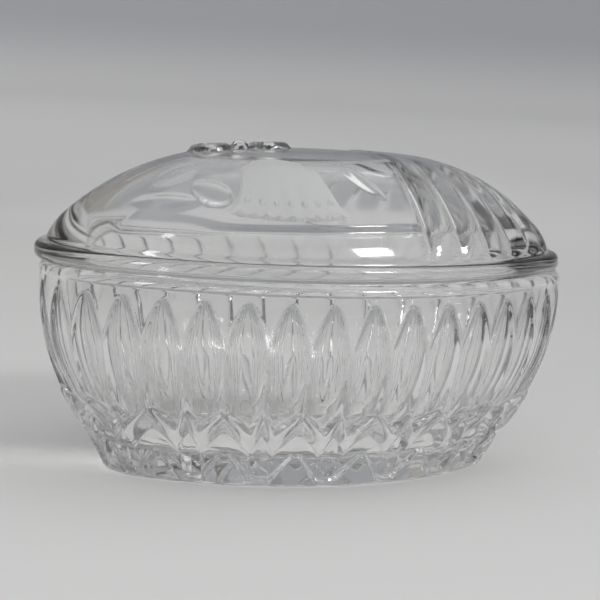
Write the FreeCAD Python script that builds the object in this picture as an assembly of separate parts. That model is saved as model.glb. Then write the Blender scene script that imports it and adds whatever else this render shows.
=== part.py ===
import FreeCAD, Part
import math
import os

# Oval plan at the widest level: four arcs, long axis on X
HALF_LENGTH = 62.0
HALF_WIDTH = 42.0
END_RADIUS = 30.0
END_CENTRE = HALF_LENGTH - END_RADIUS
SIDE_RADIUS = (END_CENTRE ** 2 + HALF_WIDTH ** 2 - END_RADIUS ** 2) / (2 * (HALF_WIDTH - END_RADIUS))
SIDE_CENTRE = SIDE_RADIUS - HALF_WIDTH
END_SWEEP = math.degrees(math.atan2(SIDE_CENTRE, END_CENTRE))
SIDE_SWEEP = 90.0 - END_SWEEP

# Bowl
BOWL_HEIGHT = 47.1
WALL = 5.6
FLOOR_TOP = 8.0
BARREL_RADIUS = 50.0
BARREL_LEVEL = 41.0
BARREL_MID_LEVEL = 25.0
SKIRT_TOP = 11.5
FOOT_INSET = 15.7
RIM_BAND_BOTTOM = 44.5
RIM_BAND_INSET = -0.15
RIM_OUTER_ROUND = 2.0
RIM_INNER_ROUND = 0.6
FLOOR_ROUND_TOP = 18.0

# Upright vee flutes round the bowl, their bottom line an arc through (inset, level) points
FLUTES = 36
FLUTE_HIGH = (0.0, 42.9)
FLUTE_MIDDLE = (3.2, 28.0)
FLUTE_LOW = (9.6, 13.1)
FLUTE_HALF_ANGLE = 72.0
FLUTE_OVERRUN = 4.0
CUT_REACH = 4.0

# Recess under the zigzag band, as (stations from a ridge, level) outlines
RECESS_HIGH = 15.0
RECESS_LOW = 1.3
RECESS_DEPTH = 1.1
WIDE_OUTLINE = [(0.0, 15.0), (0.72, 8.3), (0.72, 1.3), (0.12, 7.3), (-0.12, 7.3), (-0.72, 1.3), (-0.72, 8.3)]
NARROW_OUTLINE = [(0.0, 14.0), (0.34, 8.2), (0.4, 1.3), (-0.4, 1.3), (-0.34, 8.2)]

# Star of shallow vees in the underside
RAY_OUTER_INSET = 18.5
RAY_DEPTH = 1.2
RAY_INNER_RADIUS = 6.0
RAY_HALF_WIDTH = 4.2

# Lid, which rests a little to the left of the bowl's middle
LID_SHIFT = -1.0
LID_OVERHANG = 0.4
FLANGE_TOP = 51.1
FLANGE_ROUND = 1.6
LIP_GAP = 1.8
LIP_DROP = 3.0
LIP_INNER_INSET = 9.5
LIP_ROUND = 0.4
DOME_LENGTH = 59.8
DOME_WIDTH = 39.6
DOME_ROOT = 48.0
PLAIN_TOP = (0.0, 73.0)
PLAIN_CROWN_MID = (13.0, 72.7)
PLAIN_CROWN_END = (26.0, 71.8)
PLAIN_HAUNCH_MID = (42.0, 66.7)
PLAIN_HAUNCH_END = (55.2, 57.9)
PLAIN_FOOT_MID = (58.2, 54.7)
PLAIN_FOOT = (59.8, 52.0)
RIBBED_TOP = (0.0, 73.2)
RIBBED_CROWN_MID = (12.0, 73.0)
RIBBED_CROWN_END = (24.0, 72.4)
RIBBED_HAUNCH_MID = (41.0, 68.0)
RIBBED_HAUNCH_END = (56.0, 57.6)
RIBBED_FOOT_MID = (58.8, 54.3)
RIBBED_FOOT = (59.8, 52.0)
HOLLOW_TOP = (0.0, 68.8)
HOLLOW_CROWN_MID = (12.0, 68.5)
HOLLOW_CROWN_END = (24.0, 67.6)
HOLLOW_HAUNCH_MID = (39.0, 63.0)
HOLLOW_HAUNCH_END = (50.3, 55.6)
HOLLOW_FOOT_MID = (51.6, 52.6)
HOLLOW_FOOT = (51.9, 49.0)
HOLLOW_ROOT = 42.0
HOLLOW_WIDTH = 32.8

# Convex ribs over the right end of the lid, parted by vee grooves
RIBBED_EDGE = 15.1
RIB_FIRST = -7.33
RIB_PITCH = 0.977
RIB_COUNT = 16
RIB_TURN_LIMIT = 45.0
RIB_LOW_INSET = 3.4
RIB_LOW_LEVEL = 51.6
RIB_MID_INSET = 13.0
RIB_HIGH_INSET = 27.0
RIB_OVERRUN = 3.0
RIB_DEPTH = 1.3
RIB_HALF_ANGLE = 60.0
RIB_CUT_REACH = 8.0

# Raised panel and bell on the front of the lid, as (x, level) outlines
FRONT_REACH = -48.0
FRONT_DEPTH = 46.0
PANEL_RELIEF = 0.7
PANEL_OUTLINE = [(-48.5, 57.4), (14.0, 58.6), (14.0, 71.6), (-31.0, 70.2)]
PANEL_ARCS = {3: (-42.5, 65.3)}
BELL_RELIEF = 1.5
BELL_OUTLINE = [(-28.0, 60.5), (-4.2, 60.5), (-6.5, 69.9), (-21.5, 69.9)]
BELL_ARCS = {0: (-16.2, 58.9), 1: (-4.6, 65.5), 2: (-14.0, 71.4), 3: (-25.9, 65.5)}

# Bow on the crown
BOW_CENTRE = (-15.5, 3.5)
BOW_SPREAD = 7.0
BOW_LOOP = 3.4
BOW_CORD = 1.4
BOW_KNOT = 2.2
BOW_LEVEL = 72.9


def vec(x, y, z):
    return FreeCAD.Vector(x, y, z)


def oval_station(turn):
    """Plan point, outward normal and sideways direction at a fraction of the perimeter from +X."""
    end_arc = END_RADIUS * math.radians(END_SWEEP)
    side_arc = SIDE_RADIUS * math.radians(2 * SIDE_SWEEP)
    total = 4 * end_arc + 2 * side_arc
    along = (turn % 1.0) * total
    if along <= end_arc:
        angle = along / END_RADIUS
        centre = vec(END_CENTRE, 0, 0)
        radius = END_RADIUS
    elif along <= end_arc + side_arc:
        angle = math.radians(END_SWEEP) + (along - end_arc) / SIDE_RADIUS
        centre = vec(0, -SIDE_CENTRE, 0)
        radius = SIDE_RADIUS
    elif along <= 3 * end_arc + side_arc:
        angle = math.radians(180.0 - END_SWEEP) + (along - end_arc - side_arc) / END_RADIUS
        centre = vec(-END_CENTRE, 0, 0)
        radius = END_RADIUS
    elif along <= 3 * end_arc + 2 * side_arc:
        angle = math.radians(180.0 + END_SWEEP) + (along - 3 * end_arc - side_arc) / SIDE_RADIUS
        centre = vec(0, SIDE_CENTRE, 0)
        radius = SIDE_RADIUS
    else:
        angle = math.radians(360.0 - END_SWEEP) + (along - 3 * end_arc - 2 * side_arc) / END_RADIUS
        centre = vec(END_CENTRE, 0, 0)
        radius = END_RADIUS
    normal = vec(math.cos(angle), math.sin(angle), 0)
    sideways = vec(-math.sin(angle), math.cos(angle), 0)
    return centre + normal * radius, normal, sideways


def section_face(segments, place):
    """Planar face from (inset, level) segments: two points make a line, three an arc."""
    edges = []
    for segment in segments:
        points = [place(inset, level) for inset, level in segment]
        if len(points) == 2:
            edges.append(Part.makeLine(points[0], points[1]))
        else:
            edges.append(Part.Arc(points[0], points[1], points[2]).toShape())
    return Part.Face(Part.Wire(edges))


def wedge(segments, centre, radius, middle, sweep):
    """Section turned about one arc centre of the oval, sweep degrees each side of the middle."""
    start = math.radians(middle - sweep)

    def place(inset, level):
        reach = radius - inset
        return vec(centre.x + reach * math.cos(start), centre.y + reach * math.sin(start), level)

    return section_face(segments, place).revolve(centre, vec(0, 0, 1), 2 * sweep)


def oval_body(segments, core=None):
    """Section carried all round the oval; core gives the levels of the flat middle."""
    pieces = [
        wedge(segments, vec(END_CENTRE, 0, 0), END_RADIUS, 0.0, END_SWEEP),
        wedge(segments, vec(0, -SIDE_CENTRE, 0), SIDE_RADIUS, 90.0, SIDE_SWEEP),
        wedge(segments, vec(-END_CENTRE, 0, 0), END_RADIUS, 180.0, END_SWEEP),
        wedge(segments, vec(0, SIDE_CENTRE, 0), SIDE_RADIUS, 270.0, SIDE_SWEEP),
    ]
    if core:
        low, high = core
        bulge = SIDE_RADIUS - END_RADIUS - SIDE_CENTRE
        left = vec(-END_CENTRE, 0, low)
        right = vec(END_CENTRE, 0, low)
        upper = Part.Arc(left, vec(0, bulge, low), right).toShape()
        lower = Part.Arc(right, vec(0, -bulge, low), left).toShape()
        pieces.append(Part.Face(Part.Wire([upper, lower])).extrude(vec(0, 0, high - low)))
    return pieces[0].multiFuse(pieces[1:]).removeSplitter()


def outer_inset(level):
    """Inset of the bowl's outer face: upright at the top, an arc below, then a straight skirt."""
    if level >= BARREL_LEVEL:
        return 0.0
    if level < SKIRT_TOP:
        top = BARREL_RADIUS - math.sqrt(BARREL_RADIUS ** 2 - (BARREL_LEVEL - SKIRT_TOP) ** 2)
        return FOOT_INSET + (top - FOOT_INSET) * level / SKIRT_TOP
    return BARREL_RADIUS - math.sqrt(BARREL_RADIUS ** 2 - (BARREL_LEVEL - level) ** 2)


def inner_inset(level):
    """Inset of the bowl's inner face, one wall thickness inside the outer one."""
    if level >= BARREL_LEVEL:
        return WALL
    reach = BARREL_RADIUS - WALL
    return BARREL_RADIUS - math.sqrt(reach ** 2 - (BARREL_LEVEL - level) ** 2)


def bowl_section():
    """Half section of the bowl from the underside round the wall to the floor."""
    rim_low = RIM_BAND_BOTTOM - RIM_BAND_INSET
    corner = 1 - math.sqrt(0.5)
    foot = (FOOT_INSET, 0.0)
    skirt = (outer_inset(SKIRT_TOP), SKIRT_TOP)
    barrel_mid = (outer_inset(BARREL_MID_LEVEL), BARREL_MID_LEVEL)
    barrel_end = (0.0, BARREL_LEVEL)
    upright_end = (0.0, RIM_BAND_BOTTOM)
    band_low = (RIM_BAND_INSET, rim_low)
    band_high = (RIM_BAND_INSET, BOWL_HEIGHT - RIM_OUTER_ROUND)
    band_round = (RIM_BAND_INSET + corner * RIM_OUTER_ROUND, BOWL_HEIGHT - corner * RIM_OUTER_ROUND)
    rim_outer = (RIM_BAND_INSET + RIM_OUTER_ROUND, BOWL_HEIGHT)
    inner_level = BOWL_HEIGHT - RIM_INNER_ROUND
    inner_top = (WALL, inner_level)
    rim_inner = (WALL - RIM_INNER_ROUND, BOWL_HEIGHT)
    inner_round = (WALL - corner * RIM_INNER_ROUND, BOWL_HEIGHT - corner * RIM_INNER_ROUND)
    inner_upright = (WALL, BARREL_LEVEL)
    wall_mid = (inner_inset(BARREL_MID_LEVEL), BARREL_MID_LEVEL)
    wall_low = (inner_inset(FLOOR_ROUND_TOP), FLOOR_ROUND_TOP)
    lean = math.asin((BARREL_LEVEL - FLOOR_ROUND_TOP) / (BARREL_RADIUS - WALL))
    turn = math.pi / 2 - lean
    radius = (FLOOR_ROUND_TOP - FLOOR_TOP) / (1 - math.cos(turn))
    floor_edge = (wall_low[0] + radius * math.sin(turn), FLOOR_TOP)
    floor_mid = (floor_edge[0] - radius * math.sin(turn / 2), FLOOR_TOP + radius * (1 - math.cos(turn / 2)))
    return [
        ((END_RADIUS, 0.0), foot),
        (foot, skirt),
        (skirt, barrel_mid, barrel_end),
        (barrel_end, upright_end),
        (upright_end, band_low),
        (band_low, band_high),
        (band_high, band_round, rim_outer),
        (rim_outer, rim_inner),
        (rim_inner, inner_round, inner_top),
        (inner_top, inner_upright),
        (inner_upright, wall_mid, wall_low),
        (wall_low, floor_mid, floor_edge),
        (floor_edge, (END_RADIUS, FLOOR_TOP)),
        ((END_RADIUS, FLOOR_TOP), (END_RADIUS, 0.0)),
    ]


def circle_through(first, second, third):
    """Centre and radius of the circle through three (run, level) points."""
    ax, ay = first
    bx, by = second
    cx, cy = third
    twice = 2 * (ax * (by - cy) + bx * (cy - ay) + cx * (ay - by))
    a_sum = ax * ax + ay * ay
    b_sum = bx * bx + by * by
    c_sum = cx * cx + cy * cy
    x = (a_sum * (by - cy) + b_sum * (cy - ay) + c_sum * (ay - by)) / twice
    y = (a_sum * (cx - bx) + b_sum * (ax - cx) + c_sum * (bx - ax)) / twice
    return x, y, math.hypot(ax - x, ay - y)


def vee_bar(start, end, sideways, opening, half_angle, reach):
    """Triangular bar with its sharp edge from start to end, opening towards the given direction."""
    half_width = reach * math.tan(math.radians(half_angle))
    corners = [start, start + opening * reach + sideways * half_width]
    corners.append(start + opening * reach - sideways * half_width)
    return Part.Face(Part.makePolygon(corners + [start])).extrude(end - start)


def outward_of(sideways, run, normal):
    """Unit direction square to both sideways and run, on the outer side."""
    outward = sideways.cross(run)
    outward.normalize()
    return outward if outward.dot(normal) > 0 else outward * -1


def arc_groove(point, out, arc, half_angle, reach, overrun):
    """Vee groove whose bottom line is an arc through three (inset, level) points, low to high."""
    sideways = vec(-out.y, out.x, 0)
    low, _, high = arc
    centre_run, centre_level, radius = circle_through(*arc)
    centre = point - out * centre_run + vec(0, 0, centre_level)
    begin = math.degrees(math.atan2(low[1] - centre_level, centre_run - low[0]))
    finish = math.degrees(math.atan2(high[1] - centre_level, centre_run - high[0]))
    start = point - out * low[0] + vec(0, 0, low[1]) - centre
    start.normalize()
    half_width = reach * math.tan(math.radians(half_angle))
    apex = centre + start * radius
    left = centre + start * (radius + reach) + sideways * half_width
    right = centre + start * (radius + reach) - sideways * half_width
    face = Part.Face(Part.makePolygon([apex, left, right, apex]))
    return face.revolve(centre, sideways, -(finish + overrun - begin))


def flute_groove(turn):
    """Upright vee flute in the bowl's side."""
    point, normal, _ = oval_station(turn)
    return arc_groove(point, normal, (FLUTE_LOW, FLUTE_MIDDLE, FLUTE_HIGH), FLUTE_HALF_ANGLE, CUT_REACH,
                      FLUTE_OVERRUN)


def recess_block(index, outline):
    """Flat-floored pocket in the skirt, centred on the ridge after flute index."""
    ridge = (index + 0.5) / FLUTES
    point, normal, sideways = oval_station(ridge)
    high = point - normal * outer_inset(RECESS_HIGH) + vec(0, 0, RECESS_HIGH)
    low = point - normal * outer_inset(RECESS_LOW) + vec(0, 0, RECESS_LOW)
    run = high - low
    outward = outward_of(sideways, run, normal)
    corners = []
    for offset, level in outline:
        middle = low + run * ((level - RECESS_LOW) / (RECESS_HIGH - RECESS_LOW))
        other, other_normal, _ = oval_station(ridge + offset / FLUTES)
        across = (other - other_normal * outer_inset(level) - middle).dot(sideways)
        corners.append(middle + sideways * across - outward * RECESS_DEPTH)
    return Part.Face(Part.makePolygon(corners + [corners[0]])).extrude(outward * CUT_REACH)


def star_ray(turn):
    """Shallow vee in the underside from near the middle out towards the foot."""
    point, normal, _ = oval_station(turn)
    outer = point - normal * RAY_OUTER_INSET
    out = vec(outer.x, outer.y, 0)
    out.normalize()
    across = vec(-out.y, out.x, 0)
    inner = out * RAY_INNER_RADIUS
    tip = outer + vec(0, 0, RAY_DEPTH)
    half_angle = math.degrees(math.atan2(RAY_HALF_WIDTH, RAY_DEPTH))
    return vee_bar(inner, tip, across, vec(0, 0, -1), half_angle, 2 * RAY_DEPTH)


def make_bowl():
    bowl = oval_body(bowl_section(), (0.0, FLOOR_TOP))
    cuts = [flute_groove(index / FLUTES) for index in range(FLUTES)]
    for index in range(0, FLUTES, 2):
        cuts.append(recess_block(index, NARROW_OUTLINE))
        cuts.append(star_ray((index + 0.5) / FLUTES))
        cuts.append(recess_block(index + 1, WIDE_OUTLINE))
    return bowl.cut(cuts)


def lid_ring_section():
    """Section of the lid's flange and the locating lip under it."""
    lip_outer = inner_inset(BOWL_HEIGHT - LIP_DROP) + LIP_GAP
    lip_low = BOWL_HEIGHT - LIP_DROP
    edge = -LID_OVERHANG
    corner = FLANGE_ROUND * (1 - math.sqrt(0.5))
    top_inner = (LIP_INNER_INSET, FLANGE_TOP)
    top_outer = (edge + FLANGE_ROUND, FLANGE_TOP)
    side_high = (edge, FLANGE_TOP - FLANGE_ROUND)
    side_low = (edge, BOWL_HEIGHT + FLANGE_ROUND)
    bottom_outer = (edge + FLANGE_ROUND, BOWL_HEIGHT)
    lip_root = (lip_outer, BOWL_HEIGHT)
    lip_side = (lip_outer, lip_low + LIP_ROUND)
    lip_tip = (lip_outer + LIP_ROUND, lip_low)
    lip_back = (LIP_INNER_INSET, lip_low)
    return [
        (top_inner, top_outer),
        (top_outer, (edge + corner, FLANGE_TOP - corner), side_high),
        (side_high, side_low),
        (side_low, (edge + corner, BOWL_HEIGHT + corner), bottom_outer),
        (bottom_outer, lip_root),
        (lip_root, lip_side),
        (lip_side, lip_tip),
        (lip_tip, lip_back),
        (lip_back, top_inner),
    ]


def dome_body(top, crown_mid, crown_end, haunch_mid, haunch_end, foot_mid, foot, bottom, half_width):
    """Oval dome: the long-axis section turned about Z, then narrowed across Y."""
    points = [vec(run, 0, level) for run, level in (top, crown_mid, crown_end, haunch_mid, haunch_end)]
    foot_points = [vec(foot_mid[0], 0, foot_mid[1]), vec(foot[0], 0, foot[1])]
    low = vec(foot[0], 0, bottom)
    centre_low = vec(0, 0, bottom)
    edges = [
        Part.Arc(points[0], points[1], points[2]).toShape(),
        Part.Arc(points[2], points[3], points[4]).toShape(),
        Part.Arc(points[4], foot_points[0], foot_points[1]).toShape(),
        Part.makeLine(foot_points[1], low),
        Part.makeLine(low, centre_low),
        Part.makeLine(centre_low, points[0]),
    ]
    turned = Part.Face(Part.Wire(edges)).revolve(vec(0, 0, 0), vec(0, 0, 1), 360)
    narrow = FreeCAD.Matrix()
    narrow.scale(vec(1, half_width / foot[0], 1))
    return turned.transformGeometry(narrow)


def grown(shape, outward, upward):
    """The dome made larger by a thin even skin, for relief that follows its surface."""
    matrix = FreeCAD.Matrix()
    matrix.scale(vec(1 + outward / DOME_LENGTH, 1 + outward / DOME_WIDTH, 1))
    matrix.move(vec(0, 0, upward))
    return shape.transformGeometry(matrix)


def ribbed_level(run):
    """Level of the ribbed dome's outer face at a distance from the middle, measured along X."""
    if run <= RIBBED_CROWN_END[0]:
        x, y, radius = circle_through(RIBBED_TOP, RIBBED_CROWN_MID, RIBBED_CROWN_END)
    else:
        x, y, radius = circle_through(RIBBED_CROWN_END, RIBBED_HAUNCH_MID, RIBBED_HAUNCH_END)
    return y + math.sqrt(radius ** 2 - (run - x) ** 2)


def rib_direction(normal):
    """Plan direction of a rib: ribs near the middle of the lid run straighter across than the normals."""
    from_side = math.degrees(math.atan2(normal.x, abs(normal.y)))
    if from_side < RIB_TURN_LIMIT:
        from_side = from_side ** 2 / RIB_TURN_LIMIT
    angle = math.radians(from_side)
    return vec(math.sin(angle), math.copysign(math.cos(angle), normal.y), 0)


def rib_groove(turn):
    """Vee groove over the dome's haunch, open at the shoulder and fading towards the crown."""
    point, normal, _ = oval_station(turn)
    out = rib_direction(normal)

    def surface(inset):
        spot = point - out * inset
        return ribbed_level(math.hypot(spot.x, spot.y * DOME_LENGTH / DOME_WIDTH))

    low = (RIB_LOW_INSET, RIB_LOW_LEVEL)
    middle = (RIB_MID_INSET, surface(RIB_MID_INSET) - RIB_DEPTH)
    high = (RIB_HIGH_INSET, surface(RIB_HIGH_INSET))
    return arc_groove(point, out, (low, middle, high), RIB_HALF_ANGLE, RIB_CUT_REACH, RIB_OVERRUN)


def front_prism(points, arcs):
    """Closed outline in the XZ plane carried along Y over the front half of the lid."""
    edges = []
    for index, (run, level) in enumerate(points):
        start = vec(run, FRONT_REACH, level)
        end = vec(points[(index + 1) % len(points)][0], FRONT_REACH, points[(index + 1) % len(points)][1])
        if index in arcs:
            middle = vec(arcs[index][0], FRONT_REACH, arcs[index][1])
            edges.append(Part.Arc(start, middle, end).toShape())
        else:
            edges.append(Part.makeLine(start, end))
    return Part.Face(Part.Wire(edges)).extrude(vec(0, FRONT_DEPTH, 0))


def ribbed_region():
    """Block that holds the ribbed right end of the lid."""
    size = DOME_LENGTH + DOME_WIDTH
    return Part.makeBox(size, size, size, vec(RIBBED_EDGE, -size / 2, DOME_ROOT))


def bow():
    """Raised ribbon bow on the crown: two rings and a knot."""
    x, y = BOW_CENTRE
    loops = []
    for side in (-1, 1):
        loops.append(Part.makeTorus(BOW_LOOP, BOW_CORD, vec(x + side * BOW_SPREAD, y, BOW_LEVEL)))
    knot = Part.makeSphere(BOW_KNOT, vec(x, y, BOW_LEVEL))
    return loops + [knot]


def make_lid():
    ring = oval_body(lid_ring_section())
    plain = dome_body(PLAIN_TOP, PLAIN_CROWN_MID, PLAIN_CROWN_END, PLAIN_HAUNCH_MID, PLAIN_HAUNCH_END,
                      PLAIN_FOOT_MID, PLAIN_FOOT, DOME_ROOT, DOME_WIDTH)
    ribbed = dome_body(RIBBED_TOP, RIBBED_CROWN_MID, RIBBED_CROWN_END, RIBBED_HAUNCH_MID, RIBBED_HAUNCH_END,
                       RIBBED_FOOT_MID, RIBBED_FOOT, DOME_ROOT, DOME_WIDTH)
    hollow = dome_body(HOLLOW_TOP, HOLLOW_CROWN_MID, HOLLOW_CROWN_END, HOLLOW_HAUNCH_MID, HOLLOW_HAUNCH_END,
                       HOLLOW_FOOT_MID, HOLLOW_FOOT, HOLLOW_ROOT, HOLLOW_WIDTH)
    ribs = ribbed.common(ribbed_region())
    panel = grown(plain, PANEL_RELIEF, PANEL_RELIEF / 2).common(front_prism(PANEL_OUTLINE, PANEL_ARCS))
    bell = grown(plain, BELL_RELIEF, BELL_RELIEF / 2).common(front_prism(BELL_OUTLINE, BELL_ARCS))
    grooves = [rib_groove((RIB_FIRST + index * RIB_PITCH) / FLUTES) for index in range(RIB_COUNT)]
    dome = plain.multiFuse([ribs, panel, bell] + bow()).cut(grooves)
    lid = dome.fuse(ring).cut(hollow)
    lid.translate(vec(LID_SHIFT, 0, 0))
    return lid


def main():
    os.makedirs("parts", exist_ok=True)
    make_bowl().exportStep("parts/jar_bowl.step")
    make_lid().exportStep("parts/lid.step")


main()
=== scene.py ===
import bmesh
import bpy
import math
import numpy as np
from mathutils import Matrix, Vector


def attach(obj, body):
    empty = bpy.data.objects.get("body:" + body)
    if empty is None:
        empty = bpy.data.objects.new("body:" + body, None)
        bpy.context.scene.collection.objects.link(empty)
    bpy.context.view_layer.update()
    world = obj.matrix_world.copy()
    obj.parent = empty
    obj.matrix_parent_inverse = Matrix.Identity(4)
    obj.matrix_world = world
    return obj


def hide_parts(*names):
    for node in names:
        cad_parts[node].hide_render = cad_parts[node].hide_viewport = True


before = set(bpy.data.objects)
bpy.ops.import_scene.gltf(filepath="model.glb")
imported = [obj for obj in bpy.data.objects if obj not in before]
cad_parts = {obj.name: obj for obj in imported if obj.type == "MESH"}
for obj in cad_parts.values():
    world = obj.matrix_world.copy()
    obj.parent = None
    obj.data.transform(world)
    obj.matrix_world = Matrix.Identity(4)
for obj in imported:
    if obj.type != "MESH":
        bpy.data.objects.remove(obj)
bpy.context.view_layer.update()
MM = 0.001
SHARP_ANGLE = 50       # degrees

# The jar is worked out in millimetres and the stage in metres. An "inset" is a distance in from
# the oval plan, a "turn" is a fraction of the way round the oval from its right end, and a
# "station" is a turn counted in flutes.

# ---------------------------------------------------------------- oval plan
HALF_LENGTH, HALF_WIDTH, END_RADIUS = 62.0, 42.0, 30.0
END_CENTRE = HALF_LENGTH - END_RADIUS
SIDE_RADIUS = (END_CENTRE ** 2 + HALF_WIDTH ** 2 - END_RADIUS ** 2) / (2 * (HALF_WIDTH - END_RADIUS))
SIDE_CENTRE = SIDE_RADIUS - HALF_WIDTH
END_ANGLE = math.atan2(SIDE_CENTRE, END_CENTRE)
SIDE_ANGLE = math.pi / 2 - END_ANGLE
END_ARC, SIDE_ARC = END_RADIUS * END_ANGLE, SIDE_RADIUS * 2 * SIDE_ANGLE
PERIMETER = 4 * END_ARC + 2 * SIDE_ARC
FLUTES = 36
FLUTE_PITCH = PERIMETER / FLUTES


def oval(turn):
    """Plan points, outward normals and plan radii of the oval at the given turns."""
    along = (turn % 1.0) * PERIMETER
    x, y, angle, radius = (np.zeros_like(along) for _ in range(4))
    # each arc: its start along the perimeter, its first angle, its centre and its radius
    arcs = [(0.0, 0.0, (END_CENTRE, 0), END_RADIUS),
            (END_ARC, END_ANGLE, (0, -SIDE_CENTRE), SIDE_RADIUS),
            (END_ARC + SIDE_ARC, math.pi - END_ANGLE, (-END_CENTRE, 0), END_RADIUS),
            (3 * END_ARC + SIDE_ARC, math.pi + END_ANGLE, (0, SIDE_CENTRE), SIDE_RADIUS),
            (3 * END_ARC + 2 * SIDE_ARC, 2 * math.pi - END_ANGLE, (END_CENTRE, 0), END_RADIUS)]
    for start, first, (centre_x, centre_y), arc_radius in arcs:
        on = along >= start
        angle[on] = first + (along[on] - start) / arc_radius
        x[on] = centre_x + arc_radius * np.cos(angle[on])
        y[on] = centre_y + arc_radius * np.sin(angle[on])
        radius[on] = arc_radius
    return x, y, np.cos(angle), np.sin(angle), radius


# ---------------------------------------------------------------- small helpers
def smoothstep(first, last, value):
    """0 at first, 1 at last, with a smooth rise between; first may be the larger."""
    t = np.clip((value - first) / (last - first), 0, 1)
    return t * t * (3 - 2 * t)


def softmax(a, b, width):
    """Larger of two fields with a small rounded blend of the given width."""
    share = np.clip(0.5 + 0.5 * (a - b) / width, 0, 1)
    return b * (1 - share) + a * share + width * share * (1 - share)


def circle_through(p0, p1, p2):
    """Centre and radius of the circle through three points."""
    (ax, ay), (bx, by), (cx, cy) = p0, p1, p2
    d = 2 * (ax * (by - cy) + bx * (cy - ay) + cx * (ay - by))
    a2, b2, c2 = ax * ax + ay * ay, bx * bx + by * by, cx * cx + cy * cy
    ux = (a2 * (by - cy) + b2 * (cy - ay) + c2 * (ay - by)) / d
    uy = (a2 * (cx - bx) + b2 * (ax - cx) + c2 * (bx - ax)) / d
    return ux, uy, math.hypot(ax - ux, ay - uy)


def arc3(p0, p1, p2, count):
    """The given count of points along the arc through three points, the first left out."""
    ux, uy, radius = circle_through(p0, p1, p2)
    a0, a1, a2 = (math.atan2(q[1] - uy, q[0] - ux) for q in (p0, p1, p2))
    while a1 - a0 > math.pi:
        a1 -= 2 * math.pi
    while a1 - a0 < -math.pi:
        a1 += 2 * math.pi
    while a2 - a1 > math.pi:
        a2 -= 2 * math.pi
    while a2 - a1 < -math.pi:
        a2 += 2 * math.pi
    angle = a0 + (a2 - a0) * np.linspace(0, 1, count + 1)[1:]
    return np.stack([ux + radius * np.cos(angle), uy + radius * np.sin(angle)], 1)


def grid_faces(rows, cols, start=0):
    """Quads joining rows of a closed band, each row cols long."""
    i = np.arange(rows - 1)[:, None] * cols
    j = np.arange(cols)[None, :]
    k = (j + 1) % cols
    return (np.stack([i + j, i + k, i + cols + k, i + cols + j], -1) + start).reshape(-1, 4)


def fan(row_start, cols, centre):
    """Triangles from a closed row to one centre vertex."""
    j = np.arange(cols)
    k = (j + 1) % cols
    return np.stack([row_start + j, row_start + k, np.full(cols, centre)], -1).tolist()


def stitch(fine, fine_cols, coarse, coarse_cols):
    """Triangles from a fine row to a coarse row whose count divides it."""
    ratio = fine_cols // coarse_cols
    half = ratio // 2
    out = []
    for c in range(coarse_cols):
        n = (c + 1) % coarse_cols
        for q in range(ratio):
            a = fine + c * ratio + q
            b = fine + (c * ratio + q + 1) % fine_cols
            out.append((a, b, coarse + (c if q < half else n)))
        out.append((fine + c * ratio + half, coarse + n, coarse + c))
    return out


def make_piece(name, verts, quads, tris):
    """A smooth mesh object from millimetre vertices, with every face pointing out of the glass."""
    faces = [tuple(q) for q in quads.tolist()] + [tuple(t) for t in tris]
    mesh = bpy.data.meshes.new(name)
    mesh.from_pydata((verts * MM).tolist(), [], faces)
    mesh.validate()
    mesh.update()
    for p in mesh.polygons:
        p.use_smooth = True
    mesh.set_sharp_from_angle(angle=math.radians(SHARP_ANGLE))
    bm = bmesh.new()
    bm.from_mesh(mesh)
    bmesh.ops.recalc_face_normals(bm, faces=bm.faces)
    bm.to_mesh(mesh)
    bm.free()
    ob = bpy.data.objects.new(name, mesh)
    bpy.context.scene.collection.objects.link(ob)
    return ob


# ---------------------------------------------------------------- bowl form
# upright section: one arc, widest at BARREL_Z, with a straight skirt below it
BARREL_RADIUS, BARREL_Z, WALL = 50.0, 41.0, 5.6
SKIRT_TOP, FOOT_INSET, SKIRT_BLEND, BLEND_REACH = 11.5, 15.7, 1.2, 8.0
SKIRT_INSET = BARREL_RADIUS - math.sqrt(BARREL_RADIUS ** 2 - (BARREL_Z - SKIRT_TOP) ** 2)
RIM_TOP, RIM_INSET, RIM_BAND_LOW, RIM_ROUND, RIM_INNER_ROUND = 47.1, -0.13, 44.5, 2.0, 0.6
FLOOR_TOP, FLOOR_ROUND_TOP = 8.0, 18.0

# hollow flutes, centred on the whole stations: a pointed arch at the top, a fade of FLUTE_END at the band
FLUTE_TIP, FLUTE_SPREAD, FLUTE_ARCH = 42.9, 10.5, 0.62
FLUTE_DEPTH, FLUTE_SHAPE, FLUTE_CREST, FLUTE_END = 1.4, 3.4, 6.0, 0.9
FLUTE_EXTRA, FLUTE_EXTRA_FROM, FLUTE_EXTRA_FULL = 1.0, 30.0, 15.0

# zigzag band: a wide peak half a flute past each odd station, a narrow one half a flute past each even one
WIDE_STATION = 1.5
BAND_PEAK, BAND_DIP, BAND_SPLIT, BAND_BEAD = 18.0, 13.1, 0.68, 0.65

# pockets below the band: top edge, vee-shaped bottom edge and depth
WIDE_PEAK, NARROW_PEAK, POCKET_DIP = 15.0, 14.0, 8.4
VEE_SPAN, VEE_LOW, VEE_HIGH = (0.3, 0.88), 1.3, 7.3
POCKET_DEPTH, POCKET_TILT, POCKET_SLOPE = 0.95, 0.3, 0.8

# star of rays in the underside, one at each narrow peak
STAR_INSET, STAR_DEPTH, STAR_STATION = 18.6, 0.6, 0.5

COLUMNS_PER_FLUTE, RIDGE_CROWDING, OUTER_PER_INNER = 24, 0.45, 4


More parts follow.
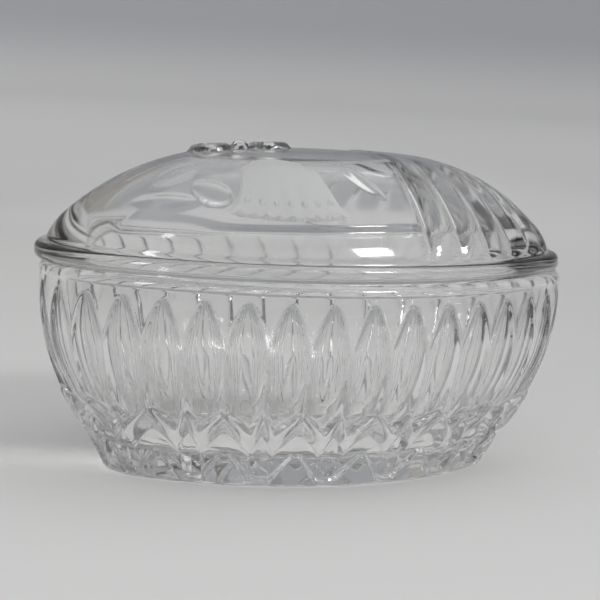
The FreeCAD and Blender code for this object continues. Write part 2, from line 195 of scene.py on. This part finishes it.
def outer_inset(z):
    """Inset of the uncut outer wall: the barrel arc, eased into the straight skirt."""
    z = np.asarray(z, float)
    barrel = BARREL_RADIUS - np.sqrt(BARREL_RADIUS ** 2 - (BARREL_Z - np.minimum(z, BARREL_Z)) ** 2)
    skirt = FOOT_INSET + (SKIRT_INSET - FOOT_INSET) * z / SKIRT_TOP
    return np.where(z < SKIRT_TOP + BLEND_REACH, -softmax(-barrel, -skirt, SKIRT_BLEND), barrel)


def inner_inset(z):
    """Inset of the inner wall, a wall's thickness inside the barrel arc."""
    return BARREL_RADIUS - np.sqrt((BARREL_RADIUS - WALL) ** 2 - (BARREL_Z - np.minimum(z, BARREL_Z)) ** 2)


def flute_depth(across, half_pitch, z):
    """Depth of a hollow flute: a pointed arch that widens to the full pitch below its tip."""
    grow = np.clip((FLUTE_TIP - z) / FLUTE_SPREAD, 0, 1) ** FLUTE_ARCH
    side = np.clip(np.abs(across) / np.maximum(half_pitch * grow, 0.02), 0, 1)
    hollow = 1 - side ** FLUTE_SHAPE
    hollow *= 1 - np.exp(-FLUTE_CREST * hollow)
    return (FLUTE_DEPTH + FLUTE_EXTRA * smoothstep(FLUTE_EXTRA_FROM, FLUTE_EXTRA_FULL, z)) * grow * hollow


def from_nearest(station, first):
    """Distance from a station to the nearest of first, first + 2 and so on, 1 at the most."""
    pair = (station - first) / 2
    return np.abs(pair - np.round(pair)) * 2


def zigzag(wide, wide_peak, narrow_peak, dip):
    """Height of a zigzag line at a distance from its nearest wide peak."""
    return np.maximum(wide_peak - (wide_peak - dip) / BAND_SPLIT * wide,
                      narrow_peak - (narrow_peak - dip) / (1 - BAND_SPLIT) * (1 - wide))


def bowl_inset(turn, z, radius):
    """Inset of the cut outer face at a turn and level: flutes, zigzag band and pockets."""
    base = outer_inset(z)
    local_pitch = FLUTE_PITCH * (radius - base) / radius
    station = turn * FLUTES
    flute = flute_depth((station - np.round(station)) * local_pitch, local_pitch / 2, z)
    wide = from_nearest(station, WIDE_STATION)
    narrow = 1 - wide
    band_top = zigzag(wide, BAND_PEAK, BAND_PEAK, BAND_DIP)
    pocket_top = zigzag(wide, WIDE_PEAK, NARROW_PEAK, POCKET_DIP)
    pocket_low = np.interp(narrow, VEE_SPAN, (VEE_LOW, VEE_HIGH))
    flute = flute * smoothstep(0.0, FLUTE_END, z - band_top)
    tilt = np.where(wide < BAND_SPLIT, wide / BAND_SPLIT, narrow / (1 - BAND_SPLIT))
    inside = np.minimum((pocket_top - z) * POCKET_SLOPE, z - pocket_low)
    pocket = (POCKET_DEPTH + POCKET_TILT * tilt) * smoothstep(0.0, 1.0, inside)
    up_band = np.clip((z - pocket_top) / (band_top - pocket_top), 0, 1)
    return base + flute + pocket - BAND_BEAD * 4 * up_band * (1 - up_band)


def bowl_hollow_section():
    """(inset, z) points down the inside of the bowl, from the rim to the edge of its flat floor."""
    r = RIM_INNER_ROUND
    top = float(inner_inset(RIM_TOP - r))
    section = [(top - r * math.cos(a), RIM_TOP - r + r * math.sin(a)) for a in np.linspace(math.pi / 2, 0, 4)]
    section += [(float(inner_inset(z)), z) for z in np.linspace(45.0, FLOOR_ROUND_TOP, 16)]
    # an arc that leaves the wall at its own slope and meets the floor level
    wall_low = float(inner_inset(FLOOR_ROUND_TOP))
    bend = math.pi / 2 - math.asin((BARREL_Z - FLOOR_ROUND_TOP) / (BARREL_RADIUS - WALL))
    r = (FLOOR_ROUND_TOP - FLOOR_TOP) / (1 - math.cos(bend))
    section += [(wall_low + r * math.sin(bend) - r * math.sin(a), FLOOR_TOP + r * (1 - math.cos(a)))
                for a in np.linspace(bend, 0, 13)[1:]]
    return section


def make_bowl():
    """The bowl as one closed mesh: underside, cut outer face, rim and smooth inside."""
    cols = FLUTES * COLUMNS_PER_FLUTE
    inner_cols = cols // OUTER_PER_INNER
    # columns stand closer together at the ridges between the flutes
    even = np.arange(cols) / COLUMNS_PER_FLUTE
    turn = (even + RIDGE_CROWDING / (2 * math.pi) * np.sin(2 * math.pi * even)) / FLUTES
    px, py, nx, ny, radius = oval(turn)
    rows = []

    def add(inset, z):
        inset = np.broadcast_to(inset, px.shape)
        z = np.broadcast_to(z, px.shape)
        rows.append(np.stack([px - nx * inset, py - ny * inset, z], 1))

    # underside: star rays from the middle out to the foot ring
    from_ray = from_nearest(turn * FLUTES, STAR_STATION)
    ring_x, ring_y = px - nx * STAR_INSET, py - ny * STAR_INSET
    for out in np.concatenate([np.linspace(0.16, 0.97, 9), [1.0]]):
        depth = STAR_DEPTH * smoothstep(0.1, 0.9, out) * np.maximum(0, 1 - from_ray * 1.08) * (out < 0.99)
        rows.append(np.stack([ring_x * out, ring_y * out, depth], 1))
    add(FOOT_INSET + 0.7, 0.0)
    add(FOOT_INSET + 0.12, 0.12)
    # outer face, its rows closer together over the band, the pockets and the flute tips
    levels = [np.linspace(0.45, 18.6, 48), np.linspace(19.4, 39.0, 22), np.linspace(39.5, RIM_BAND_LOW, 14)]
    for z in np.concatenate(levels):
        level = np.full_like(turn, z)
        add(bowl_inset(turn, level, radius), level)
    add(RIM_INSET + 0.06, RIM_BAND_LOW + 0.14)
    add(RIM_INSET, RIM_BAND_LOW + 0.32)
    for a in np.linspace(0, math.pi / 2, 8):
        add(RIM_INSET + RIM_ROUND * (1 - math.cos(a)), RIM_TOP - RIM_ROUND + RIM_ROUND * math.sin(a))
    verts = np.concatenate(rows + [[[0, 0, 0.0]]])
    quads = grid_faces(len(rows), cols)
    tris = fan(0, cols, len(verts) - 1)
    # inside, smooth, with fewer columns
    ix, iy, jx, jy, _ = oval(np.arange(inner_cols) / inner_cols)
    inner = [np.stack([ix - jx * i, iy - jy * i, np.full_like(ix, z)], 1) for i, z in bowl_hollow_section()]
    inner += [inner[-1] * [f, f, 1] for f in (0.66, 0.33)]
    start = len(verts)
    verts = np.concatenate([verts] + inner + [[[0, 0, FLOOR_TOP]]])
    quads = np.concatenate([quads, grid_faces(len(inner), inner_cols, start)])
    tris += stitch((len(rows) - 1) * cols, cols, start, inner_cols)
    tris += fan(start + (len(inner) - 1) * inner_cols, inner_cols, len(verts) - 1)
    return make_piece("bowl_glass", verts, quads, tris)


# ---------------------------------------------------------------- lid form
LID_SHIFT = -1.0
# sections from the crown outwards, each three arcs through points given as (distance out, z)
PLAIN = [(0.0, 73.0), (13.0, 72.7), (26.0, 71.8), (42.0, 66.7), (55.2, 57.9), (58.2, 54.7), (59.8, 52.0)]
RIBBED = [(0.0, 73.2), (12.0, 73.0), (24.0, 72.4), (41.0, 68.0), (56.0, 57.6), (58.8, 54.3), (59.8, 52.0)]
HOLLOW = [(0.0, 68.8), (12.0, 68.5), (24.0, 67.6), (39.0, 63.0), (50.3, 55.6), (51.6, 52.6), (51.9, 49.0)]
DOME_LENGTH, DOME_WIDTH, DOME_FOOT, CROWN_MIDDLE = 59.8, 39.6, 51.5, 73.05
HOLLOW_LENGTH, HOLLOW_WIDTH, HOLLOW_TOP = 51.9, 32.8, 68.8
FLANGE_TOP, FLANGE_LOW, FLANGE_INSET, FLANGE_ROUND, LEDGE_INSET = 51.1, 47.1, -0.38, 1.6, 1.3
LIP_LOW, LIP_GAP = 44.1, 1.8
LID_COLUMNS_PER_FLUTE = 22

# convex ribs over the right end, between grooves that start at evenly spaced stations
RIB_FIRST, RIB_PITCH, RIB_COUNT, RIB_EDGE, RIB_TURN_LIMIT = -7.33, 0.977, 16, 15.1, 45.0
RIB_DEPTH, RIB_REACH, RIB_FADE_FROM, RIB_FADE_TO = 1.3, 34.0, 13.0, 27.0
RIB_FULL_WIDTH, RIB_WIDEST, RIB_END_EDGE, RIB_OVERRUN, NO_GROOVE = 7.0, 40.0, 2.4, 4.0, 99.0


def dome_line(points, samples):
    """Points down a dome section made of three arcs, at fractions of its length."""
    chain = [np.array([points[0]])]
    for k in (0, 2, 4):
        chain.append(arc3(points[k], points[k + 1], points[k + 2], 60))
    line = np.concatenate(chain)
    step = np.concatenate([[0], np.cumsum(np.hypot(*np.diff(line, axis=0).T))])
    at = np.asarray(samples) * step[-1]
    return np.stack([np.interp(at, step, line[:, 0]), np.interp(at, step, line[:, 1])], 1)


def rib_cut(x, y):
    """Depth of the grooves between the convex ribs at plan points of the lid."""
    gx, gy, nx, ny, _ = oval((RIB_FIRST + RIB_PITCH * np.arange(RIB_COUNT)) / FLUTES)
    # grooves on the long sides run straighter across the lid than the oval's normals
    side = np.degrees(np.arctan2(nx, np.abs(ny)))
    side = np.radians(np.where(side < RIB_TURN_LIMIT, side ** 2 / RIB_TURN_LIMIT, side))
    ox, oy = np.sin(side), np.copysign(np.cos(side), ny)
    dx, dy = x[..., None] - gx, y[..., None] - gy
    across = dx * -oy + dy * ox
    near = -(dx * ox + dy * oy)
    ok = (near > -RIB_OVERRUN) & (near < RIB_REACH)
    left = np.where(ok & (across >= 0), across, NO_GROOVE).min(-1)
    right = np.where(ok & (across < 0), -across, NO_GROOVE).min(-1)
    pick = np.argmin(np.where(ok, np.abs(across), NO_GROOVE), -1)
    inset = np.take_along_axis(near, pick[..., None], -1)[..., 0]
    depth = np.where(inset < RIB_FADE_FROM, 1 - 0.5 * ((RIB_FADE_FROM - inset) / RIB_FADE_FROM) ** 2,
                     1 - smoothstep(RIB_FADE_FROM, RIB_FADE_TO, inset))
    # a rib is round between two grooves; past the last groove only its own soft edge is cut
    gap = left + right
    round_top = (2 * left / np.maximum(gap, 1e-6) - 1) ** 2
    between = np.where(gap < RIB_WIDEST, round_top * np.clip(gap / RIB_FULL_WIDTH, 0, 1), 0.0)
    edge = np.where(gap >= RIB_WIDEST, np.clip(1 - np.minimum(left, right) / RIB_END_EDGE, 0, 1), 0.0)
    return RIB_DEPTH * depth * np.maximum(between, edge) * ok.any(-1)


def outline(points, arcs, per_arc=14):
    """Closed outline as dense points; numbered sides bulge through their arc point."""
    out = []
    for k, p in enumerate(points):
        q = points[(k + 1) % len(points)]
        out.append(np.array([p]))
        if k in arcs:
            out.append(arc3(p, arcs[k], q, per_arc)[:-1])
    return np.concatenate(out)


def signed_distance(x, z, loop):
    """Distance to a closed outline, positive inside."""
    best = np.full(x.shape, 1e9)
    inside = np.zeros(x.shape, bool)
    for (ax, az), (bx, bz) in zip(loop, np.roll(loop, -1, axis=0)):
        ex, ez = bx - ax, bz - az
        t = np.clip(((x - ax) * ex + (z - az) * ez) / max(ex * ex + ez * ez, 1e-9), 0, 1)
        best = np.minimum(best, np.hypot(x - ax - t * ex, z - az - t * ez))
        if az != bz:
            inside ^= ((az > z) != (bz > z)) & (x < ex * (z - az) / ez + ax)
    return np.where(inside, best, -best)


# relief, placed before the lid's shift: (x, z) on the front and (x, y) on the crown
PANEL = outline([(-48.5, 57.4), (14.0, 58.6), (14.0, 71.6), (-31.0, 70.2)], {3: (-42.5, 65.3)})
PANEL_HEIGHT = 0.7
BOSS_X, BOSS_Z, BOSS_LENGTH, BOSS_WIDTH, BOSS_HEIGHT = -30.3, 64.0, 3.6, 2.4, 0.8
# each leaf: x and z of its middle, half length, half width and angle in degrees
LEAVES = [(2.5, 67.2, 6.0, 1.7, -38), (7.5, 69.8, 5.0, 1.2, -12),
          (-35.5, 67.0, 7.0, 1.6, 24), (-39.0, 61.8, 7.5, 1.9, 6)]
LEAF_HEIGHT, LEAF_VEIN_DEPTH, LEAF_VEIN_WIDTH = 0.45, 0.3, 0.3
BOW_X, BOW_Y, BOW_SPREAD, BOW_LOOP, BOW_CORD, BOW_KNOT = -15.5, 3.5, 7.0, 3.4, 1.4, 2.05
CROWN_Z = 70


def relief(x, y, z):
    """Raised decoration on the lid's plain part, measured square to the surface."""
    front = smoothstep(0.0, 2.0, -y - 4)
    soft = 0.5 + 2.0 * smoothstep(-26.0, -38.0, x)       # the panel's edge softens towards its left end
    out = PANEL_HEIGHT * smoothstep(-soft, soft, signed_distance(x, z, PANEL)) * front
    boss = ((x - BOSS_X) / BOSS_LENGTH) ** 2 + ((z - BOSS_Z) / BOSS_WIDTH) ** 2
    out += BOSS_HEIGHT * np.sqrt(np.clip(1 - boss, 0, 1)) * front
    for leaf_x, leaf_z, length, width, angle in LEAVES:
        c, s = math.cos(math.radians(angle)), math.sin(math.radians(angle))
        along = ((x - leaf_x) * c + (z - leaf_z) * s) / length
        across = (-(x - leaf_x) * s + (z - leaf_z) * c) / width
        body = np.clip(1 - along ** 2 - np.abs(across), 0, 1)
        vein = LEAF_VEIN_DEPTH * np.exp(-(across / LEAF_VEIN_WIDTH) ** 2)
        out += LEAF_HEIGHT * smoothstep(0, 1.0, body) * front * (1 - vein)
    crown = z > CROWN_Z
    for side in (-1, 1):
        ring = np.hypot(x - BOW_X - side * BOW_SPREAD, y - BOW_Y) - BOW_LOOP
        out += np.where(crown, np.sqrt(np.clip(BOW_CORD ** 2 - ring ** 2, 0, None)), 0)
    knot = np.hypot(x - BOW_X, y - BOW_Y)
    return out + np.where(crown, np.sqrt(np.clip(BOW_KNOT ** 2 - knot ** 2, 0, None)), 0)


def dome_surface(samples, ex, ey):
    """Outer dome points for section samples (rows) and plan directions (columns)."""
    plain, ribbed = dome_line(PLAIN, samples), dome_line(RIBBED, samples)
    blend = smoothstep(RIB_EDGE - 0.6, RIB_EDGE + 0.6, plain[:, :1] * ex)
    run = plain[:, :1] * (1 - blend) + ribbed[:, :1] * blend
    z = plain[:, 1:] * (1 - blend) + ribbed[:, 1:] * blend
    return np.stack([run * ex, run * ey, z], -1)


def grid_normals(p):
    """Unit normals of a closed-column grid of points, rows going down the dome."""
    down = np.gradient(p, axis=0)
    around = np.roll(p, -1, 1) - np.roll(p, 1, 1)
    n = np.cross(down, around)
    n /= np.maximum(np.linalg.norm(n, axis=-1, keepdims=True), 1e-9)
    return n * np.sign(n[..., 2:] + 1e-9)


def flange_section():
    """(inset, z) points from the ledge round the flange and down the outside of the locating lip."""
    r, bends = FLANGE_ROUND, np.linspace(0, math.pi / 2, 6)
    section = [(LEDGE_INSET, FLANGE_TOP)]
    section += [(FLANGE_INSET + r * (1 - math.cos(a)), FLANGE_TOP - r + r * math.sin(a)) for a in bends[::-1]]
    section += [(FLANGE_INSET + r * (1 - math.cos(a)), FLANGE_LOW + r - r * math.sin(a)) for a in bends]
    lip = float(inner_inset(LIP_LOW)) + LIP_GAP
    section += [(lip - 0.3, FLANGE_LOW), (lip, FLANGE_LOW - 0.2), (lip, LIP_LOW + 0.4)]
    return section + [(lip + 0.12, LIP_LOW + 0.12), (lip + 0.4, LIP_LOW)]


def make_lid():
    """The lid as one closed mesh: decorated dome, flange, lip and smooth hollow."""
    cols = FLUTES * LID_COLUMNS_PER_FLUTE
    inner_cols = cols // OUTER_PER_INNER
    px, py, nx, ny, _ = oval(np.arange(cols) / cols)
    phi = np.arctan2(py / HALF_WIDTH, px / HALF_LENGTH)
    ex, ey = np.cos(phi), np.sin(phi) * DOME_WIDTH / DOME_LENGTH
    samples = np.concatenate([np.linspace(0.02, 0.34, 28), np.linspace(0.352, 0.95, 60),
                              np.linspace(0.96, 1.0, 5)])
    surface = dome_surface(samples, ex, ey)
    lift = relief(surface[..., 0], surface[..., 1], surface[..., 2])
    lift -= rib_cut(surface[..., 0], surface[..., 1]) * (1 - smoothstep(0.975, 1.0, samples))[:, None]
    rows = list(surface + grid_normals(surface) * lift[..., None])
    foot = np.stack([DOME_LENGTH * ex, DOME_LENGTH * ey, np.full_like(ex, DOME_FOOT)], 1)
    rows += [foot, foot * [1.004, 1.006, 0] + [0, 0, FLANGE_TOP]]
    rows += [np.stack([px - nx * i, py - ny * i, np.full_like(px, z)], 1) for i, z in flange_section()]
    verts = np.concatenate(rows + [[[0, 0, CROWN_MIDDLE]]])
    quads = grid_faces(len(rows), cols)
    tris = fan(0, cols, len(verts) - 1)
    # hollow, smooth, with fewer columns
    ix, iy, _, _, _ = oval(np.arange(inner_cols) / inner_cols)
    phi = np.arctan2(iy / HALF_WIDTH, ix / HALF_LENGTH)
    hx, hy = np.cos(phi), np.sin(phi) * HOLLOW_WIDTH / HOLLOW_LENGTH
    section = [(HOLLOW_LENGTH + 0.4, LIP_LOW), (HOLLOW_LENGTH + 0.05, LIP_LOW + 0.3), (HOLLOW_LENGTH, 46.0)]
    section += [tuple(p) for p in dome_line(HOLLOW, np.linspace(1.0, 0.04, 30))]
    inner = [np.stack([run * hx, run * hy, np.full_like(hx, z)], 1) for run, z in section]
    start = len(verts)
    verts = np.concatenate([verts] + inner + [[[0, 0, HOLLOW_TOP]]])
    quads = np.concatenate([quads, grid_faces(len(inner), inner_cols, start)])
    tris += stitch((len(rows) - 1) * cols, cols, start, inner_cols)
    tris += fan(start + (len(inner) - 1) * inner_cols, inner_cols, len(verts) - 1)
    verts[:, 0] += LID_SHIFT
    return make_piece("lid_glass", verts, quads, tris)


# ---------------------------------------------------------------- bell form
BELL_TOP, BELL_MOUTH, BELL_X, BELL_LEAN = 70.4, 60.3, -15.6, 0.9
BELL_NECK, BELL_FLARE, BELL_LIP, BELL_SHOULDER = 7.6, 4.1, 1.2, 0.35
# heights off the dome: the shell's back, its edge, and its body with the crown on top
BELL_BACK, BELL_EDGE, BELL_BODY, BELL_CROWN = 0.71, 0.72, 0.75, 0.65
FOLDS, FOLD_HEIGHT, SCALLOPS, SCALLOP_DROP = 5, 0.13, 4.5, 0.12
# rows of beads: how far down the bell, and how many
BEAD_ROWS, BEAD_RADIUS, BEAD_HEIGHT = ((0.70, 7), (0.93, 9)), 0.62, 0.55
BELL_COLUMNS, BELL_ROWS = 161, 97


def make_bell():
    """Frosted bell standing proud of the panel: folds, a beaded mouth and a scalloped hem."""
    u, v = np.meshgrid(np.linspace(-1, 1, BELL_COLUMNS), np.linspace(0, 1, BELL_ROWS))
    half = BELL_NECK + BELL_FLARE * v ** 1.2 + BELL_LIP * smoothstep(0.75, 1.0, v)
    half *= 1 - BELL_SHOULDER * (1 - smoothstep(0.0, 0.16, v))
    x = BELL_X + BELL_LEAN * (1 - v) + half * u
    hem = SCALLOP_DROP * np.abs(np.sin(u * math.pi * SCALLOPS)) * smoothstep(0.85, 1.0, v)
    z = BELL_TOP + (BELL_MOUTH - BELL_TOP) * v - 1.5 * (1 - u ** 2) * (v - 0.35) - hem
    # the dome's front face at each (x, z)
    line = dome_line(PLAIN, np.linspace(0, 1, 600))
    run = np.interp(z, line[::-1, 1], line[::-1, 0])
    y = -np.sqrt(np.maximum(run ** 2 - x ** 2, 1.0)) * DOME_WIDTH / DOME_LENGTH
    base = np.stack([x, y, z], -1)
    n = np.cross(np.gradient(base, axis=1), np.gradient(base, axis=0))
    n /= np.linalg.norm(n, axis=-1, keepdims=True)
    n *= np.sign(-n[..., 1:2])
    # heights: a rounded body with folds, brought down at its edges, then the beads
    edge = np.minimum(np.minimum(1 - np.abs(u), v * 1.1), (1 - v) * 1.1)
    height = BELL_BODY + BELL_CROWN * np.sqrt(np.clip(1 - u ** 2, 0, 1)) * smoothstep(0.0, 0.2, v)
    height += FOLD_HEIGHT * np.cos(u * math.pi * FOLDS) * (1 - np.abs(u)) * smoothstep(0.2, 0.6, v)
    height = BELL_EDGE + (height - BELL_EDGE) * smoothstep(0.0, 0.05, edge)
    for row, count in BEAD_ROWS:
        for bead_u in -0.82 + 1.64 * np.arange(count) / (count - 1):
            bead_v = row + 0.05 * (1 - bead_u ** 2)
            gap = np.hypot((u - bead_u) * half, (v - bead_v) * 11.5)
            height += BEAD_HEIGHT * np.sqrt(np.clip(1 - (gap / BEAD_RADIUS) ** 2, 0, 1))
    front, back = base + n * height[..., None], base + n * BELL_BACK
    verts = np.concatenate([front.reshape(-1, 3), back.reshape(-1, 3)])
    # one sheet of faces in front, one behind, and a skirt joining them round the rim
    sheet = BELL_ROWS * BELL_COLUMNS
    index = np.arange(sheet).reshape(BELL_ROWS, BELL_COLUMNS)
    corners = [index[:-1, :-1], index[:-1, 1:], index[1:, 1:], index[1:, :-1]]
    face = np.stack([c.ravel() for c in corners], 1)
    rim = np.concatenate([index[0], index[1:, -1], index[-1, -2::-1], index[-2:0:-1, 0]])
    after = np.roll(rim, -1)
    skirt = np.stack([rim, rim + sheet, after + sheet, after], 1)
    verts[:, 0] += LID_SHIFT
    return make_piece("bell_frosted", verts, np.concatenate([face, face[:, ::-1] + sheet, skirt]), [])


# ---------------------------------------------------------------- materials
def material(name):
    """A new node material, its tree and its Principled shader."""
    mat = bpy.data.materials.new(name)
    mat.use_nodes = True
    return mat, mat.node_tree, mat.node_tree.nodes["Principled BSDF"]


def glass_material(name, tint, clearness, rough_low, rough_high):
    """Pressed glass: its roughness varies in patches, and a faint slow wave bends its surface."""
    mat, tree, shader = material(name)
    shader.inputs["Base Color"].default_value = (*tint, 1)
    shader.inputs["Transmission Weight"].default_value = clearness
    shader.inputs["IOR"].default_value = 1.52
    place = tree.nodes.new("ShaderNodeTexCoord").outputs["Object"]

    def noise(scale, detail):
        node = tree.nodes.new("ShaderNodeTexNoise")
        node.inputs["Scale"].default_value = scale
        node.inputs["Detail"].default_value = detail
        tree.links.new(place, node.inputs["Vector"])
        return node.outputs["Fac"]

    span = tree.nodes.new("ShaderNodeMapRange")
    limits = {"From Min": 0.35, "From Max": 0.7, "To Min": rough_low, "To Max": rough_high}
    for socket, value in limits.items():
        span.inputs[socket].default_value = value
    tree.links.new(noise(55.0, 3.0), span.inputs["Value"])
    tree.links.new(span.outputs["Result"], shader.inputs["Roughness"])
    bump = tree.nodes.new("ShaderNodeBump")
    bump.inputs["Strength"].default_value = 0.05
    bump.inputs["Distance"].default_value = 0.002
    tree.links.new(noise(28.0, 1.0), bump.inputs["Height"])
    tree.links.new(bump.outputs["Normal"], shader.inputs["Normal"])
    return mat


CLEAR_TINT, FROSTED_TINT = (0.968, 0.970, 0.968), (0.93, 0.93, 0.93)
clear = glass_material("clear_pressed_glass", CLEAR_TINT, 1.0, 0.02, 0.05)
worn = glass_material("clear_worn_glass", CLEAR_TINT, 1.0, 0.06, 0.11)
frosted = glass_material("satin_frosted_glass", FROSTED_TINT, 0.72, 0.40, 0.55)

# ---------------------------------------------------------------- pieces
bowl = make_bowl()
bowl.data.materials.append(clear)
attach(bowl, "bowl")
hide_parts("jar_bowl")
bowl.visible_shadow = False      # a fully dark shadow would show through the clear base

lid = make_lid()
lid.data.materials.append(worn)
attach(lid, "lid")
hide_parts("lid")

bell = make_bell()
bell.data.materials.append(frosted)
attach(bell, "lid")
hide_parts("lid")

# ---------------------------------------------------------------- camera
# angles in radians, distances, lens and sensor in millimetres
YAW, PAN, PITCH_DOWN, ROLL = 0.3685, -0.0026, -0.1383, 0.0494
DISTANCE, HEIGHT = 428.4, 97.57
LENS, SENSOR = 111.804, 36.0

cam_data = bpy.data.cameras.new("camera")
cam_data.sensor_width = SENSOR
cam_data.lens = LENS
cam_data.clip_start = 0.01
cam = bpy.data.objects.new("camera", cam_data)
bpy.context.scene.collection.objects.link(cam)
eye = Vector((-math.sin(YAW) * DISTANCE, -math.cos(YAW) * DISTANCE, HEIGHT)) * MM
facing = Matrix.Rotation(-YAW - PAN, 4, "Z") @ Matrix.Rotation(math.pi / 2 + PITCH_DOWN, 4, "X")
cam.matrix_world = Matrix.Translation(eye) @ (facing @ Matrix.Rotation(ROLL, 4, "Z"))
bpy.context.scene.camera = cam

# ---------------------------------------------------------------- surroundings, in metres
# the wall's greyer, cooler colour is painted shade; the floor keeps its own even pale colour
FLOOR_PAPER, WALL_PAPER_PAINTED_SHADE = (0.71, 0.707, 0.70, 1), (0.50, 0.508, 0.53, 1)
# painted shade: dark paper up the wall behind the camera, standing in for the dim room there
CAMERA_SIDE_PAINTED_SHADE = (0.16, 0.16, 0.16, 1)
MIX_FIRST, MIX_SECOND, MIX_RESULT = 6, 7, 2      # colour sockets of a Mix node
FLOOR_DROP = 0.0002                              # keeps the floor off the face of the jar's foot
FLOOR_RADIUS, WALL_BEND, WALL_TOP = 2.45, 0.5, 1.6
FLAG_COLUMNS = 9
AIM_HEIGHT = 0.03


def stage_material():
    """Matte paper, pale on the floor, with painted shade greyer up the wall and dark behind the camera."""
    mat, tree, shader = material("stage_paper_painted_shade")
    shader.inputs["Roughness"].default_value = 0.8
    split = tree.nodes.new("ShaderNodeSeparateXYZ")
    tree.links.new(tree.nodes.new("ShaderNodeTexCoord").outputs["Object"], split.inputs["Vector"])

    def ramp(axis, first, last):
        node = tree.nodes.new("ShaderNodeMapRange")
        node.interpolation_type = "SMOOTHSTEP"
        node.inputs["From Min"].default_value = first
        node.inputs["From Max"].default_value = last
        tree.links.new(split.outputs[axis], node.inputs["Value"])
        return node.outputs["Result"]

    def blend_to(colour, factor):
        node = tree.nodes.new("ShaderNodeMix")
        node.data_type = "RGBA"
        node.inputs[MIX_SECOND].default_value = colour
        tree.links.new(factor, node.inputs["Factor"])
        return node

    up_wall = ramp("Z", 0.0, 0.13)
    up_near_wall = tree.nodes.new("ShaderNodeMath")
    up_near_wall.operation = "MULTIPLY"
    tree.links.new(up_wall, up_near_wall.inputs[0])
    tree.links.new(ramp("Y", 1.2, -1.0), up_near_wall.inputs[1])
    # painted shade: the paper turns greyer up the wall
    paper = blend_to(WALL_PAPER_PAINTED_SHADE, up_wall)
    paper.inputs[MIX_FIRST].default_value = FLOOR_PAPER
    # painted shade: darker still up the wall towards the camera side
    shaded = blend_to(CAMERA_SIDE_PAINTED_SHADE, up_near_wall.outputs[0])
    tree.links.new(paper.outputs[MIX_RESULT], shaded.inputs[MIX_FIRST])
    tree.links.new(shaded.outputs[MIX_RESULT], shader.inputs["Base Color"])
    return mat


def cyclorama():
    """Round pale floor that curves up into a plain wall."""
    around = 96
    section = [(0.05, 0.0), (0.6, 0.0), (FLOOR_RADIUS, 0.0)]
    section += [(FLOOR_RADIUS + WALL_BEND * math.sin(a), WALL_BEND - WALL_BEND * math.cos(a))
                for a in np.linspace(0, math.pi / 2, 12)[1:]]
    section += [(FLOOR_RADIUS + WALL_BEND, WALL_TOP)]
    angle = np.linspace(0, 2 * math.pi, around, endpoint=False)
    rings = [np.stack([r * np.cos(angle), r * np.sin(angle), np.full(around, z - FLOOR_DROP)], 1)
             for r, z in section]
    faces = [tuple(f) for f in grid_faces(len(section), around).tolist()] + [tuple(range(around))[::-1]]
    mesh = bpy.data.meshes.new("floor")
    mesh.from_pydata(np.concatenate(rings).tolist(), [], faces)
    for p in mesh.polygons:
        p.use_smooth = True
    mesh.materials.append(stage_material())
    ob = bpy.data.objects.new("floor", mesh)
    bpy.context.scene.collection.objects.link(ob)


def flag(name, first, last, distance, low, high, colour):
    """Floating matte panel beyond the jar, seen only through or in the glass.

    The angles first and last are degrees round the jar, rightwards from straight behind it.
    """
    angle = math.pi / 2 - YAW - np.radians(np.linspace(first, last, FLAG_COLUMNS))
    edges = [np.stack([distance * np.cos(angle), distance * np.sin(angle), np.full(FLAG_COLUMNS, z)], 1)
             for z in (low, high)]
    faces = [(k, k + 1, k + 1 + FLAG_COLUMNS, k + FLAG_COLUMNS) for k in range(FLAG_COLUMNS - 1)]
    mesh = bpy.data.meshes.new(name)
    mesh.from_pydata(np.concatenate(edges).tolist(), [], faces)
    mat, _, shader = material(name)
    shader.inputs["Base Color"].default_value = (*colour, 1)
    shader.inputs["Roughness"].default_value = 0.9
    mesh.materials.append(mat)
    ob = bpy.data.objects.new(name, mesh)
    bpy.context.scene.collection.objects.link(ob)
    ob.visible_camera = False


def aimed(light, azimuth, elevation, distance):
    """Places a light round the jar, azimuth from -Y towards +X, and points it at the jar."""
    az, el = math.radians(azimuth), math.radians(elevation)
    place = Vector((math.sin(az) * math.cos(el), -math.cos(az) * math.cos(el), math.sin(el))) * distance
    light.location = place
    light.rotation_euler = (Vector((0, 0, AIM_HEIGHT)) - place).to_track_quat("-Z", "Y").to_euler()
    bpy.context.scene.collection.objects.link(light)


def area(name, azimuth, elevation, distance, size, power):
    """A rectangular window light; its size is (width, height)."""
    data = bpy.data.lights.new(name, "AREA")
    data.shape = "RECTANGLE"
    data.size, data.size_y = size
    data.energy = power
    aimed(bpy.data.objects.new(name, data), azimuth, elevation, distance)


def sun(name, azimuth, elevation, strength, spread):
    """A sun whose disc is spread degrees wide; a wide one gives soft light."""
    data = bpy.data.lights.new(name, "SUN")
    data.energy = strength
    data.angle = math.radians(spread)
    aimed(bpy.data.objects.new(name, data), azimuth, elevation, 1.0)


cyclorama()
flag("flag_left", -80, -20, 0.55, 0.05, 0.38, (0.42, 0.40, 0.37))
flag("flag_right", 36, 95, 0.55, 0.04, 0.42, (0.08, 0.08, 0.08))
sun("key", 25, 60, 1.14, 120)
area("window", 29, 37, 1.0, (0.18, 0.15), 2.8)
area("side_window", -58, 24, 1.0, (0.10, 0.30), 1.0)

scene = bpy.context.scene
scene.world = bpy.data.worlds.new("world")
scene.world.use_nodes = True
scene.world.node_tree.nodes["Background"].inputs["Color"].default_value = (0.41, 0.413, 0.42, 1)
scene.world.node_tree.nodes["Background"].inputs["Strength"].default_value = 1.0
scene.view_settings.view_transform = "Standard"
# light has to pass through many faces of glass
scene.cycles.max_bounces = 24
scene.cycles.transmission_bounces = 24
scene.cycles.glossy_bounces = 8
scene.cycles.diffuse_bounces = 4
